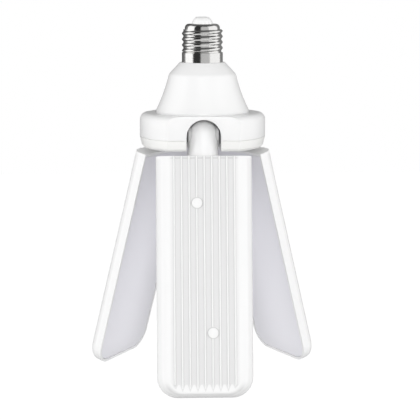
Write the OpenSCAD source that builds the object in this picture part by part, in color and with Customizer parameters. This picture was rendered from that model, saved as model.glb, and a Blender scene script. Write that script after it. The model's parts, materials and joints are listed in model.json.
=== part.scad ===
// Folding ceiling lamp: a screw cap, a bell with the driver, a hub, and three hinged light leaves.
// Millimetres. The origin is on the lamp's axis at the lower rim of the screw shell, +Z up to the contact.
// A leaf is drawn in the frame of its own hinge: X outwards, Y along the pivots, Z up the leaf.

/* [Screw cap] */
// Radius over the plain skirt of the shell
skirt_r = 13.1; // [12.9:0.05:13.2]
// Height of the plain skirt
skirt_h = 6.2; // [5:0.2:8]
// Rise of the thread in one turn
thread_pitch = 3.63; // [3.4:0.01:3.8]
// Full turns of thread
thread_turns = 4; // [3:0.5:5]
// Depth of the rolled thread, crest to root
thread_depth = 0.95; // [0.7:0.05:1]
// Direction of the thread's crest where it leaves the skirt
thread_start_a = 80; // [0:10:350]
// Wall of the shell
shell_wall = 0.5; // [0.4:0.05:0.6]
// Radius of the plain shoulder above the thread
shoulder_r = 11.2; // [10.8:0.1:11.6]
// Height of that shoulder, up to the shell's top
shoulder_h = 3.5; // [3:0.1:5]
// Rounding of the shoulder's upper edge
shoulder_round = 2.55; // [2:0.05:2.8]
// Radius of the insulator where it stands out of the shell
insulator_r = 6.65; // [6:0.05:7]
// Height of the insulator above the shell
insulator_h = 3.3; // [3:0.1:4]
// Depth of the insulator's plug inside the shell
insulator_depth = 4; // [3:0.5:5]
// Radius of the centre contact
contact_r = 3.35; // [3:0.05:3.8]
// Height of the centre contact above the insulator
contact_h = 1.1; // [0.8:0.1:1.5]

/* [Bell] */
// Radius of the bell's top edge, just below the screw shell
bell_neck_r = 14.4; // [14:0.1:16]
// Radius of the bell's shoulder
bell_shoulder_r = 21.5; // [20:0.5:23]
// Drop from the top edge to the shoulder
bell_shoulder_drop = 7.6; // [6:0.2:9]
// Radius of the bell's foot
bell_foot_r = 29.8; // [28:0.2:31]
// Height of the bell's upright foot
bell_foot_h = 2; // [1:0.5:4]
// Height of the whole bell
bell_h = 32.4; // [30:0.2:38]
// How far the flare is hollowed in from a straight cone
flare_sag = 0.75; // [0.3:0.05:1.5]
// Wall of the bell
bell_wall = 1.8; // [1.4:0.1:2.4]
// Radius of the bore through the neck
neck_bore_r = 9.5; // [8:0.5:10]
// Height of the spigot that the screw shell grips
spigot_h = 12; // [8:0.5:14]
// Distance of the bell's screws from the axis
bell_screw_at = 20; // [19:0.5:21]

/* [Hub] */
// Radius of the round hub
hub_r = 40.4; // [39:0.2:42]
// Distance of the three flats from the axis
flat_at = 33.4; // [32:0.1:33.4]
// Rounding of the hub's upper edge
hub_round = 4.5; // [4:0.5:8]
// Depth of the seat that the bell's foot stands in
bell_seat = 0.5; // [0.3:0.1:1]
// Height from the top of the hub to the seam
upper_h = 14.9; // [14.5:0.1:17]
// Height of the lower cover
cover_h = 7; // [6:0.1:7.2]
// How far the cover leans in from the seam to the bottom
cover_taper = 1.2; // [1:0.1:2.5]
// Height of the shadow gap at the seam
seam_gap = 0.4; // [0.2:0.1:0.8]
// Depth of the shadow gap at the seam
seam_depth = 0.7; // [0.4:0.1:1.2]
// Bevel round the bottom edge of the cover
cover_bevel = 1.5; // [0.5:0.1:2]
// Wall of the hub, its flats and its pockets
hub_wall = 2.2; // [1.8:0.1:2.4]
// Distance of the cover screws from the axis
cover_screw_at = 29.5; // [28:0.5:31]

/* [Hinge] */
// Distance of each hinge from the axis
hinge_at = 20.9; // [20.5:0.1:22]
// Depth of each hinge below the top of the hub
hinge_drop = 12.8; // [12.6:0.1:13.4]
// Half width of the pocket, and radius of its arch
pocket_r = 10.85; // [10.6:0.05:11.2]
// Distance of the pocket's back wall from the axis
pocket_back = 10; // [9.6:0.1:10.4]
// Radius of the domed arm
arm_r = 9.2; // [8.4:0.1:9.3]
// Distance of the arm's flat back from the pivots
arm_back = 6.2; // [6:0.1:7]
// Radius of the bosses at the sides of the arm
arm_boss_r = 5.4; // [4.5:0.1:5.8]
// Half width over those bosses
arm_boss_half = 9.5; // [9.3:0.05:9.8]
// Height of a dished friction washer
washer_h = 1.5; // [1.3:0.05:1.6]
// Radius of the pivots
pivot_r = 2.5; // [2:0.1:3]
// Running clearance of the arm on its pivots
pivot_clear = 0.05; // [0.03:0.01:0.08]
// Half of the gap between the two pivots, left for the lead
pivot_gap = 3; // [2.6:0.1:4]
// Radius of the pivots' heads
pivot_head_r = 4.2; // [3.8:0.1:4.6]
// Height of the pivots' heads
pivot_head_h = 1.8; // [1.2:0.1:2.4]
// Tilt of the front leaf out from upright
front_tilt = 12.4; // [8:0.2:20]
// Tilt of the two side leaves out from upright
side_tilt = 15.2; // [8:0.2:20]

/* [Leaf] */
// Width of a leaf
leaf_w = 60; // [52:1:60]
// Length of a leaf
leaf_len = 150.2; // [130:1:170]
// Distance from the pivots down to the leaf's upper end
leaf_drop = 14; // [13.8:0.1:16]
// Distance from the pivots' plane out to the leaf's inner rim
rim_at = 0.4; // [0.3:0.1:1]
// Height of the straight side wall
side_h = 4.3; // [3.6:0.1:5]
// Height of the rounded shoulder, from side wall to back
back_rise = 6; // [5:0.2:7]
// Width of the rounded shoulder along the sides
side_slope = 8; // [6:0.5:9]
// Width of the rounded shoulder at the lower end
end_slope = 4.7; // [3:0.1:6]
// Corner radius of the lower end
corner_r = 13; // [12:0.5:16]
// Wall of the leaf's housing
leaf_wall = 1.8; // [1.5:0.1:2]
// Width of the ledge under the diffuser
ledge_w = 1.2; // [0.8:0.1:1.5]
// Number of cooling ribs
rib_count = 9; // [5:1:9]
// Spacing of the cooling ribs
rib_pitch = 4.7; // [4:0.1:4.8]
// Width of a rib
rib_w = 0.8; // [0.6:0.1:1.2]
// Height of a rib
rib_h = 0.8; // [0.5:0.1:1.2]
// Distance of the ribs' ends from the leaf's lower end
rib_stop = 9; // [8:0.5:14]
// Radius of the two screw bosses on the ribs
boss_r = 3.15; // [2.8:0.05:3.6]

/* [Light] */
// Thickness of the diffuser
diffuser_t = 1.6; // [1.2:0.1:2]
// Gap round the diffuser
diffuser_gap = 0.25; // [0.15:0.05:0.4]
// How far the diffuser lies below the rim
diffuser_sink = 0.2; // [0:0.1:0.4]
// Thickness of the LED board
board_t = 1.2; // [0.8:0.1:1.6]
// Gap between the LED board and the housing's walls
board_gap = 0.7; // [0.4:0.1:1.5]
// Columns of LEDs
led_columns = 3; // [1:2:3]
// Spacing of the LEDs
led_pitch = 11.9; // [9:0.1:12]
// Length left free at each end of the LED board
led_margin = 6; // [5:0.5:12]

/* [Driver] */
// Radius of the driver board
driver_r = 19.5; // [17:0.5:20]
// Height of the driver board above the hub
driver_lift = 4; // [3:0.5:6]
// Thickness of the driver board
driver_t = 1.6; // [1:0.1:2]
// Distance of the driver board's screws from the axis
driver_screw_at = 14; // [13:0.5:15]
// Radius of a thick lead
lead_r = 1.1; // [0.8:0.1:1.2]
// Radius of a thin supply lead
supply_r = 0.8; // [0.5:0.1:1]

/* [Fasteners] */
// Radius of the larger screws
screw_r = 1.5; // [1.2:0.1:1.6]
// Radius of the driver board's screws
small_screw_r = 1.1; // [0.9:0.1:1.2]
// Clearance round a screw in its hole
screw_clear = 0.05; // [0.03:0.01:0.1]
// Radius of the larger screws' heads
screw_head_r = 2.7; // [2.4:0.1:2.8]
// Height of the larger screws' heads
screw_head_h = 1.8; // [1.4:0.1:2]

/* [Hidden] */
$fn = 64;
eps = 0.01;

// The leaves: direction of each hinge from the axis, and its tilt at rest
FRONT = 0;
RIGHT = 1;
LEFT = 2;
leaf_a = [-90, 30, 150];
leaf_tilt = [front_tilt, side_tilt, side_tilt];

// Heights along the axis
thread_h = thread_turns * thread_pitch;
thread_top = skirt_h + thread_h;
shell_top = thread_top + shoulder_h;
insulator_top = shell_top + insulator_h;
hub_top = bell_seat - bell_h;
seam_z = hub_top - upper_h;
hub_bottom = seam_z - cover_h;
hinge_z = hub_top - hinge_drop;
driver_z = hub_top + driver_lift;
board_top = driver_z + driver_t;

// Clearances and bosses
fit_gap = 0.05;
seat_gap = 0.4;
bore_margin = 1.5;
head_sink = 0.4;
head_room = screw_head_h + head_sink;
small_head_r = 2 * small_screw_r;
small_head_h = 1.4;
bell_boss_r = screw_r + 1.9;
driver_gap = 0.5;
screw_slot = 1;

// Where the driver's parts stand on the board, and where the two supply leads land on it
capacitor_at = [8, -6];
transformer_at = [-7, -4];
rectifier_at = [5, 6.5];
chip_at = [-5, 7];
fuse_at = [0, 13];
contact_lead_at = [1, 2];
shell_lead_at = [-0.4, 6.5];
shell_lead_rise = 2.2;
output_at = 3.6;
output_bend = 4;

// The thread is a circle that runs round the axis off centre, inside the skirt's radius
thread_core_r = skirt_r - fit_gap - thread_depth / 2;
thread_bore_r = thread_core_r - thread_depth / 2 - shell_wall;
skirt_bore_r = skirt_r - shell_wall;
thread_sides = 32;
slices_per_turn = 12;
insulator_plug_r = shoulder_r - shoulder_round - shell_wall;
stem_r = 1.2;
stem_end = shell_top - insulator_depth - 3;

// Leaf sizes worked out from the rim outwards
wall_top = rim_at + side_h;
back_at = wall_top + back_rise;
rib_top = back_at + rib_h;
inner_back = back_at - leaf_wall;
led_face = inner_back - board_t;
diffuser_face = rim_at + diffuser_sink;
ledge_at = diffuser_face + diffuser_t;
leaf_end = leaf_drop + leaf_len;
pocket_inset = leaf_wall;
cavity_inset = leaf_wall + ledge_w;
shoulder_steps = 5;
cavity_side_run = side_slope - ledge_w;
cavity_end_run = end_slope - ledge_w;
rib_ramp = 3;
boss_proud = 0.1;
boss_cap = 0.7;

// The LED board lies on the flat inner back of the housing
board_side = cavity_inset + cavity_side_run + board_gap;
board_end = cavity_inset + cavity_end_run + board_gap;
board_corner_r = 4;
board_high = leaf_drop + cavity_inset + head_room;
board_low = leaf_end - board_end;
led_w = 2.8;
led_len = 3.5;
led_t = 0.7;
led_rows = floor((board_low - board_high - 2 * led_margin - led_len) / led_pitch) + 1;

// Places of the two screw bosses: across the leaf, and down from the pivots
boss_y = [-4.5, 5];
boss_z = [-43.3, -123.8];

// The arm's screws and the hole for its lead
arm_screw_y = 4.4;
arm_screw_x = ledge_at + screw_head_r + head_sink;
arm_screw_len = 6;
lead_hole_x = 3.4;
lead_hole_r = lead_r + 0.6;
lead_slot = 2 * lead_r + 2;
lead_bend = 7.5;
lead_room_r = 3.2;
lead_stop = 1.3;
washer_gap = 0.1;
washer_seat = arm_boss_half + washer_h + washer_gap;
washer_room_r = arm_boss_r + seat_gap;
boss_ring = 0.5;
driver_screw_len = 5;
cover_screw_len = 9;
bell_screw_len = 8;
between_a = [for (a = leaf_a) a + 60];

// Points of an arc about a centre
function arc(x, y, r, from, to, steps) =
    [for (i = [0:steps]) let (a = from + (to - from) * i / steps) [x + r * cos(a), y + r * sin(a)]];

module at_hub(a, r, z) rotate([0, 0, a]) translate([r, 0, z]) children();
// From a leaf's own frame to the lamp's
module hinged(leaf) at_hub(leaf_a[leaf], hinge_at, hinge_z) rotate([0, -leaf_tilt[leaf], 0]) children();
// A 2D shape drawn across and along a leaf, from one depth to another
module slab(from, to) translate([from, 0, 0]) rotate([90, 0, 90]) linear_extrude(to - from) children();
// A screw standing on the underside of its head, pointing down
module screw(r, len, head_r, head_h) {
    translate([0, 0, -len]) cylinder(r = r, h = len);
    difference() {
        cylinder(r = head_r, h = head_h);
        translate([0, 0, head_h / 2])
            for (a = [0, 90]) rotate([0, 0, a])
                translate([-head_r * 0.6, -head_r * 0.12, 0]) cube([head_r * 1.2, head_r * 0.24, head_h]);
    }
}
// Rings of points round a route, closed by a fan at each end
function unit(v) = v / norm(v);
module lead(route, r, sides = 8) {
    n = len(route);
    way = [for (i = [0:n - 1]) unit(route[min(i + 1, n - 1)] - route[max(i - 1, 0)])];
    side = [0, 1, 0];
    rings = [for (i = [0:n - 1]) let (u = unit(side - way[i] * (side * way[i])), w = cross(way[i], u))
        for (k = [0:sides - 1]) let (a = 360 * k / sides) route[i] + r * (cos(a) * u + sin(a) * w)];
    walls = [for (i = [0:n - 2], k = [0:sides - 1])
        let (p = i * sides + k, q = i * sides + (k + 1) % sides)
        each [[p, p + sides, q + sides], [p, q + sides, q]]];
    ends = [for (k = [1:sides - 2]) each
        [[0, k, k + 1], [(n - 1) * sides, (n - 1) * sides + k + 1, (n - 1) * sides + k]]];
    polyhedron(rings, concat(walls, ends));
}

// ---- Screw cap ----

module centre_contact() color("silver") {
    rivet_edge = 0.6;
    translate([0, 0, insulator_top]) rotate_extrude() polygon([
        [0, 0], [contact_r, 0], [contact_r, contact_h - rivet_edge],
        [contact_r - rivet_edge, contact_h], [0, contact_h]]);
    translate([0, 0, stem_end]) cylinder(r = stem_r, h = insulator_top + eps - stem_end);
}

module cap_insulator() color("whitesmoke") difference() {
    foot_h = 0.9;
    dome_h = insulator_h - foot_h;
    union() {
        translate([0, 0, shell_top - insulator_depth]) cylinder(r = insulator_plug_r, h = insulator_depth + eps);
        translate([0, 0, shell_top]) rotate_extrude() polygon(concat(
            [[0, 0], [insulator_r, 0], [insulator_r, foot_h]],
            arc(contact_r, foot_h, dome_h, 0, 90, 5), [[0, insulator_h]]));
    }
    translate([0, 0, shell_top - insulator_depth - 1])
        cylinder(r = stem_r + screw_clear, h = insulator_depth + insulator_h + 2);
}

module screw_shell() color("lightgray") difference() {
    union() {
        cylinder(r = skirt_r, h = skirt_h);
        translate([0, 0, skirt_h]) rotate([0, 0, thread_start_a])
            linear_extrude(height = thread_h, twist = -360 * thread_turns,
                slices = slices_per_turn * thread_turns, $fn = thread_sides)
                translate([thread_depth / 2, 0]) circle(r = thread_core_r, $fn = thread_sides);
        translate([0, 0, thread_top]) rotate_extrude() polygon(concat([[0, 0], [shoulder_r, 0]],
            arc(shoulder_r - shoulder_round, shoulder_h - shoulder_round, shoulder_round, 0, 90, 5),
            [[0, shoulder_h]]));
    }
    translate([0, 0, -1]) cylinder(r = skirt_bore_r, h = 1 + skirt_h - shell_wall);
    cylinder(r = thread_bore_r, h = thread_top - shell_wall);
    cylinder(r = insulator_plug_r + fit_gap, h = shell_top + 1);
    cylinder(r = min(thread_bore_r, shoulder_r - shell_wall), h = thread_top + eps);
    translate([0, 0, thread_top]) rotate_extrude() polygon(concat([[0, 0], [shoulder_r - shell_wall, 0]],
        arc(shoulder_r - shoulder_round, shoulder_h - shoulder_round, shoulder_round - shell_wall, 0, 90, 5),
        [[0, shoulder_h - shell_wall]]));
}

// ---- Bell ----

// Outline of the bell, drawn in by a wall; the flare is hollowed by one large arc
module bell_outline(inset) {
    top = [bell_shoulder_r, -bell_shoulder_drop];
    foot = [bell_foot_r, bell_foot_h - bell_h];
    chord = norm(foot - top);
    arc_r = chord * chord / 8 / flare_sag + flare_sag / 2;
    out = [top[1] - foot[1], foot[0] - top[0]] / chord;
    centre = (top + foot) / 2 + out * (arc_r - flare_sag);
    difference() {
        polygon([[0, -inset], [bell_neck_r - inset, -inset],
            [top[0] - inset, top[1] - inset / 2], top + [1 - inset, -1 - inset],
            foot + [1 - inset, 1], [foot[0] - inset, foot[1]], [foot[0] - inset, -bell_h], [0, -bell_h]]);
        translate(centre) circle(r = arc_r + inset, $fn = 256);
    }
}

module bell_housing() color("white") difference() {
    union() {
        rotate_extrude() difference() {
            bell_outline(0);
            translate([0, -eps]) bell_outline(bell_wall);
        }
        cylinder(r = skirt_bore_r - fit_gap, h = skirt_h - shell_wall - fit_gap);
        cylinder(r = thread_bore_r - fit_gap, h = spigot_h);
        intersection() {
            for (a = between_a) at_hub(a, bell_screw_at, -bell_h) cylinder(r = bell_boss_r, h = bell_h);
            rotate_extrude() bell_outline(bell_wall / 2);
        }
    }
    translate([0, 0, -bell_wall - 1]) cylinder(r = neck_bore_r, h = spigot_h + bell_wall + 2);
    for (a = between_a) at_hub(a, bell_screw_at, -bell_h - eps)
        cylinder(r = screw_r + screw_clear, h = bell_screw_len);
}

module bell_screws() color("silver") for (a = between_a)
    at_hub(a, bell_screw_at, hub_top - hub_wall) rotate([180, 0, 0])
        screw(screw_r, bell_screw_len, screw_head_r, screw_head_h);

// ---- Hub ----

// An arch with straight legs, looking along the way the leaf points
module arch(r, legs) {
    circle(r = r);
    translate([-r, -legs]) square([2 * r, legs]);
}

// The space each arm swings in, or with a wall added, the block round it
module pockets(wall) for (a = leaf_a)
    at_hub(a, pocket_back - wall, hinge_z) slab(0, hub_r) arch(pocket_r + wall, hub_r);

// The bores for the pivots through the pockets' walls, with a flat seat in each wall for a washer
module pivot_bores() for (a = leaf_a) at_hub(a, hinge_at, hinge_z) rotate([90, 0, 0]) {
    cylinder(r = pivot_r + screw_clear, h = 2 * (pocket_r + hub_wall) + 2, center = true);
    cylinder(r = washer_room_r, h = 2 * washer_seat, center = true);
}

// Everything outside the three flats, drawn in by an inset
module beyond_flats(inset, profile) for (a = leaf_a)
    rotate([0, 0, a]) translate([-inset, hub_r, 0]) rotate([90, 0, 0]) linear_extrude(2 * hub_r) polygon(profile);

module upper_body(inset, foot) {
    round_r = hub_round - inset;
    top = hub_top - inset;
    side = hub_r - inset;
    difference() {
        rotate_extrude() polygon(concat([[0, foot], [side, foot]],
            arc(side - round_r, top - round_r, round_r, 0, 90, 8), [[0, top]]));
        beyond_flats(inset, [[flat_at, foot - 1], [hub_r + hub_round, foot - 1],
            [hub_r + hub_round, hub_top + 1], [flat_at, hub_top + 1]]);
    }
}

module hub_upper() color("white") difference() {
    post_r = screw_r + 2;
    standoff_r = small_screw_r + 1.3;
    union() {
        difference() {
            upper_body(0, seam_z);
            upper_body(hub_wall, seam_z - 1);
        }
        intersection() {
            upper_body(hub_wall / 2, seam_z);
            union() {
                pockets(hub_wall);
                for (a = between_a) at_hub(a, cover_screw_at, seam_z) cylinder(r = post_r, h = upper_h);
                for (a = leaf_a) at_hub(a, hinge_at, hinge_z) rotate([90, 0, 0])
                    cylinder(r = washer_room_r + hub_wall / 2, h = 2 * (pocket_r + hub_wall), center = true);
            }
        }
        for (a = leaf_a) at_hub(a, driver_screw_at, hub_top - hub_wall / 2)
            cylinder(r = standoff_r, h = driver_z - hub_top + hub_wall / 2);
    }
    difference() {
        translate([0, 0, hub_top - bell_seat]) cylinder(r = bell_foot_r + seat_gap, h = bell_seat + 1);
        for (a = leaf_a) at_hub(a, driver_screw_at, hub_top - bell_seat - 1)
            cylinder(r = standoff_r, h = bell_seat + 3);
    }
    pockets(0);
    pivot_bores();
    translate([0, 0, hinge_z]) cylinder(r = pocket_back - hub_wall - bore_margin, h = hinge_drop + 1);
    for (a = leaf_a) {
        at_hub(a, 0, hinge_z) rotate([0, 90, 0]) cylinder(r = lead_hole_r, h = pocket_back + 1);
        at_hub(a, driver_screw_at, driver_z - driver_screw_len + driver_t)
            cylinder(r = small_screw_r + screw_clear, h = driver_screw_len);
    }
    for (a = between_a) {
        at_hub(a, bell_screw_at, hub_top - hub_wall - 1) cylinder(r = screw_r + screw_clear, h = hub_wall + 2);
        at_hub(a, cover_screw_at, seam_z - eps) cylinder(r = screw_r + screw_clear, h = cover_screw_len);
    }
}

// The cover under the seam: its flats and its round stretches lean in a little
module cover_body(inset, floor) {
    foot_r = hub_r - cover_taper - inset;
    neck_r = hub_r - seam_depth - inset;
    shadow_z = seam_z - seam_gap;
    low = hub_bottom + floor;
    bevel_z = low + cover_bevel;
    far = hub_r + hub_round;
    difference() {
        rotate_extrude() polygon([[0, low], [foot_r - cover_bevel, low], [foot_r, bevel_z],
            [hub_r - inset, shadow_z], [neck_r, shadow_z], [neck_r, seam_z], [0, seam_z]]);
        beyond_flats(inset, [[flat_at - seam_depth, seam_z + 1], [flat_at - seam_depth, shadow_z],
            [flat_at, shadow_z], [flat_at - cover_taper, bevel_z],
            [flat_at - cover_taper - cover_bevel - 1, low - 1], [far, low - 1], [far, seam_z + 1]]);
    }
}

module hub_cover() color("white") difference() {
    post_r = screw_head_r + 1.6;
    union() {
        difference() {
            cover_body(0, 0);
            translate([0, 0, eps]) cover_body(hub_wall, hub_wall);
        }
        intersection() {
            cover_body(hub_wall / 2, hub_wall / 2);
            union() {
                pockets(hub_wall);
                for (a = between_a) at_hub(a, cover_screw_at, hub_bottom) cylinder(r = post_r, h = cover_h);
            }
        }
    }
    pockets(0);
    pivot_bores();
    for (a = between_a) at_hub(a, cover_screw_at, hub_bottom - 1) {
        cylinder(r = screw_r + screw_clear, h = cover_h + 2);
        cylinder(r = screw_head_r + head_sink, h = head_room + 1);
    }
}

module cover_screws() color("silver") for (a = between_a)
    at_hub(a, cover_screw_at, hub_bottom + head_room) rotate([180, 0, 0])
        screw(screw_r, cover_screw_len, screw_head_r, screw_head_h);

// ---- Driver, in the bell ----

module driver_board() color("seagreen") difference() {
    translate([0, 0, driver_z]) cylinder(r = driver_r, h = driver_t);
    for (a = between_a) at_hub(a, bell_screw_at, driver_z - 1)
        cylinder(r = bell_boss_r + driver_gap, h = driver_t + 2);
    for (a = leaf_a) at_hub(a, driver_screw_at, driver_z - 1)
        cylinder(r = small_screw_r + screw_clear, h = driver_t + 2);
}

module driver_screws() color("silver") for (a = leaf_a)
    at_hub(a, driver_screw_at, board_top)
        screw(small_screw_r, driver_screw_len - driver_gap, small_head_r, small_head_h);

// Where a part of the driver stands on the board
module on_board(place) translate([place[0], place[1], board_top]) children();

module smoothing_capacitor() color("black") on_board(capacitor_at) rotate_extrude() {
    can_r = 5;
    can_h = 16;
    crimp = 0.4;
    polygon([[0, 0], [can_r, 0], [can_r, 4 * crimp], [can_r - crimp, 5 * crimp], [can_r, 6 * crimp],
        [can_r, can_h - crimp], [can_r - crimp, can_h], [0, can_h]]);
}

// A core of two plates and two limbs round the winding
module driver_transformer() color("goldenrod") on_board(transformer_at) {
    core = [13, 11];
    plate_h = 2;
    winding_h = 7.5;
    winding_r = 3.6;
    limb = [2.5, 5];
    for (z = [0, plate_h + winding_h]) translate([-core[0] / 2, -core[1] / 2, z]) cube([core[0], core[1], plate_h]);
    for (x = [-core[0] / 2, core[0] / 2 - limb[0]]) translate([x, -limb[1] / 2, plate_h])
        cube([limb[0], limb[1], winding_h]);
    translate([0, 0, plate_h]) cylinder(r = winding_r, h = winding_h);
}

// A moulded chip with two rows of legs
module chip(w, d, h, legs, leg_w, leg_pitch) {
    leg = 1;
    stand = leg_w / 2;
    translate([-w / 2, -d / 2, stand]) cube([w, d, h]);
    for (k = [0:legs - 1], y = [-d / 2 - leg, d / 2])
        translate([(k - (legs - 1) / 2) * leg_pitch - leg_w / 2, y, 0]) cube([leg_w, leg, leg_w]);
}

module bridge_rectifier() color("dimgray") on_board(rectifier_at) chip(6.4, 4.8, 2.3, 2, 0.8, 3.8);

module driver_chip() color("dimgray") on_board(chip_at) chip(5, 4, 1.5, 4, 0.4, 1.27);

module fuse_resistor() color("mediumseagreen") {
    body_r = 2;
    body_len = 8;
    wire_r = 0.3;
    wire_len = 1.4;
    on_board(fuse_at) translate([0, 0, body_r]) {
        rotate([0, 90, 0]) cylinder(r = body_r, h = body_len + 2 * eps, center = true);
        for (s = [-1, 1]) translate([s * (body_len / 2 + wire_len), 0, 0]) {
            rotate([0, -90 * s, 0]) cylinder(r = wire_r, h = wire_len);
            translate([0, 0, -body_r]) cylinder(r = wire_r, h = body_r);
            sphere(r = wire_r, $fn = 16);
        }
    }
}

// Each supply lead is drawn by shares of its way across and of its way down to the board
module supply_lead(from, to, shares) lead([for (p = shares) [
    from[0] + (to[0] - from[0]) * p[0], from[1] + (to[1] - from[1]) * p[0],
    from[2] + (board_top - from[2]) * p[1]]], supply_r);

module supply_leads() color("firebrick") {
    shell_end = unit(shell_lead_at) * (thread_bore_r - 2 * fit_gap);
    supply_lead([0, 0, stem_end], contact_lead_at,
        [[0, 0], [0, 0.05], [0.25, 0.28], [0.85, 0.67], [1, 0.85], [1, 1]]);
    supply_lead(concat(shell_end, spigot_h + shell_lead_rise), shell_lead_at,
        [[0, 0], [0.5, 0.01], [0.78, 0.05], [0.92, 0.12], [1, 0.22], [1, 1]]);
}

module output_leads() color("white") for (a = leaf_a) rotate([0, 0, a]) lead(concat(
    [[output_at, 0, driver_z]],
    [for (p = arc(output_at + output_bend, hinge_z + output_bend, output_bend, 180, 270, 4)) [p[0], 0, p[1]]],
    [[hinge_at - lead_stop, 0, hinge_z]]), lead_r);

// ---- Hinges ----

module pivots(leaf) color("silver") at_hub(leaf_a[leaf], hinge_at, hinge_z)
    for (s = [-1, 1]) rotate([-90 * s, 0, 0]) difference() {
        union() {
            translate([0, 0, pivot_gap]) cylinder(r = pivot_r, h = pocket_r + hub_wall - pivot_gap);
            translate([0, 0, pocket_r + hub_wall]) cylinder(r = pivot_head_r, h = pivot_head_h);
        }
        translate([-pivot_head_r, -screw_slot / 2, pocket_r + hub_wall + pivot_head_h / 2])
            cube([2 * pivot_head_r, screw_slot, pivot_head_h]);
    }

// Dished friction washers between the arm's bosses and the pocket's walls
module washers(leaf) color("silver") at_hub(leaf_a[leaf], hinge_at, hinge_z) for (s = [-1, 1])
    rotate([-90 * s, 0, 0]) translate([0, 0, arm_boss_half + washer_gap / 2]) rotate_extrude() {
        inner = pivot_r + 0.15;
        thick = washer_h / 2;
        polygon([[inner, 0], [inner + thick, 0], [arm_boss_r, washer_h - thick],
            [arm_boss_r, washer_h], [arm_boss_r - thick, washer_h], [inner, thick]]);
    }

module arm(leaf) color("white") hinged(leaf) difference() {
    slot_edge = lead_r + 0.5;
    across = 2 * arm_r + 2;
    union() {
        sphere(r = arm_r);
        translate([0, 0, -leaf_drop]) cylinder(r = arm_r, h = leaf_drop);
        rotate([90, 0, 0]) cylinder(r = arm_boss_r, h = 2 * arm_boss_half, center = true);
    }
    translate([-arm_back - across, -across / 2, -leaf_drop - 1]) cube([across, across, leaf_drop + across]);
    rotate([90, 0, 0]) cylinder(r = pivot_r + pivot_clear, h = 2 * arm_boss_half + 2, center = true);
    rotate([90, 0, 0]) cylinder(r = lead_room_r, h = lead_slot, center = true);
    translate([-across, -lead_slot / 2, -slot_edge]) cube([across + slot_edge, lead_slot, across]);
    translate([lead_hole_x, 0, -leaf_drop - 1]) cylinder(r = lead_hole_r, h = leaf_drop + 1 - lead_bend);
    rotate([0, 180 - atan2(lead_hole_x, lead_bend), 0]) cylinder(r = lead_hole_r, h = norm([lead_hole_x, lead_bend]));
    translate([lead_hole_x, 0, -lead_bend]) sphere(r = lead_hole_r);
    for (s = [-1, 1]) translate([arm_screw_x, s * arm_screw_y, -leaf_drop - 1])
        cylinder(r = screw_r + screw_clear, h = arm_screw_len + 1.5);
    translate([0, across / 2, 0]) rotate([90, 0, 0]) linear_extrude(across)
        polygon([[-arm_back - 1, -leaf_drop / 2], [rim_at, -leaf_drop - 1], [-arm_back - 1, -leaf_drop - 1]]);
}

module arm_screws(leaf) color("silver") hinged(leaf) for (s = [-1, 1])
    translate([arm_screw_x, s * arm_screw_y, -leaf_drop - cavity_inset]) rotate([180, 0, 0])
        screw(screw_r, arm_screw_len + cavity_inset, screw_head_r, screw_head_h);

// ---- Leaves ----

// Outline of a leaf, drawn in at the sides, the lower end and the upper end
module leaf_outline(side, end, top, r) {
    half = leaf_w / 2 - side;
    low = end - leaf_end;
    high = -leaf_drop - top;
    translate([-half, low + r]) square([2 * half, high - low - r]);
    translate([r - half, low]) square([2 * (half - r), high - low]);
    for (s = [-1, 1]) translate([s * (half - r), low + r]) circle(r = r);
}

// A leaf-shaped block whose upper edges are rounded over; inset draws the whole block in
module leaf_block(from, straight_to, to, inset, side_run, end_run) hull() {
    start_r = corner_r - inset;
    slab(from, straight_to) leaf_outline(inset, inset, inset, start_r, $fn = 32);
    for (k = [1:shoulder_steps]) {
        a = 90 * k / shoulder_steps;
        x = straight_to + (to - straight_to) * sin(a);
        in = 1 - cos(a);
        slab(x - eps, x) leaf_outline(inset + side_run * in, inset + end_run * in, inset,
            start_r - (side_run + end_run) / 2 * in, $fn = 32);
    }
}

module housing(leaf) color("white") hinged(leaf) difference() {
    rib_root = back_at - leaf_wall / 2;
    union() {
        leaf_block(rim_at, wall_top, back_at, 0, side_slope, end_slope);
        difference() {
            for (k = [0:rib_count - 1]) translate([0, (k - (rib_count - 1) / 2) * rib_pitch + rib_w / 2, 0])
                rotate([90, 0, 0]) linear_extrude(rib_w) polygon([[rib_root, -leaf_drop], [rib_top, -leaf_drop],
                    [rib_top, rib_stop - leaf_end], [back_at, rib_stop - rib_ramp - leaf_end],
                    [rib_root, rib_stop - rib_ramp - leaf_end]]);
            for (k = [0, 1]) translate([rib_root - 1, boss_y[k], boss_z[k]]) rotate([0, 90, 0])
                cylinder(r = boss_r + boss_ring, h = leaf_wall + rib_h + 2);
        }
        for (k = [0, 1]) translate([rib_root, boss_y[k], boss_z[k]]) rotate([0, 90, 0])
            cylinder(r = boss_r, h = rib_top + boss_proud - rib_root);
    }
    slab(rim_at - 1, ledge_at) leaf_outline(pocket_inset, pocket_inset, pocket_inset, corner_r - pocket_inset);
    leaf_block(ledge_at - eps, wall_top, inner_back, cavity_inset, cavity_side_run, cavity_end_run);
    for (k = [0, 1]) translate([inner_back - 1, boss_y[k], boss_z[k]]) rotate([0, 90, 0])
        cylinder(r = screw_r + screw_clear, h = rib_top - boss_cap - inner_back + 1);
    for (s = [-1, 1]) translate([arm_screw_x, s * arm_screw_y, -leaf_drop - cavity_inset - 1])
        cylinder(r = screw_r + screw_clear, h = cavity_inset + 2);
    translate([lead_hole_x, 0, -leaf_drop - cavity_inset - 1]) cylinder(r = lead_hole_r, h = cavity_inset + 2);
}

module led_board(leaf) color("whitesmoke") hinged(leaf) difference() {
    slab(led_face, inner_back) leaf_outline(board_side, board_end, cavity_inset + head_room, board_corner_r);
    for (k = [0, 1]) translate([led_face - 1, boss_y[k], boss_z[k]]) rotate([0, 90, 0])
        cylinder(r = screw_r + screw_clear, h = board_t + 2);
}

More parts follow.
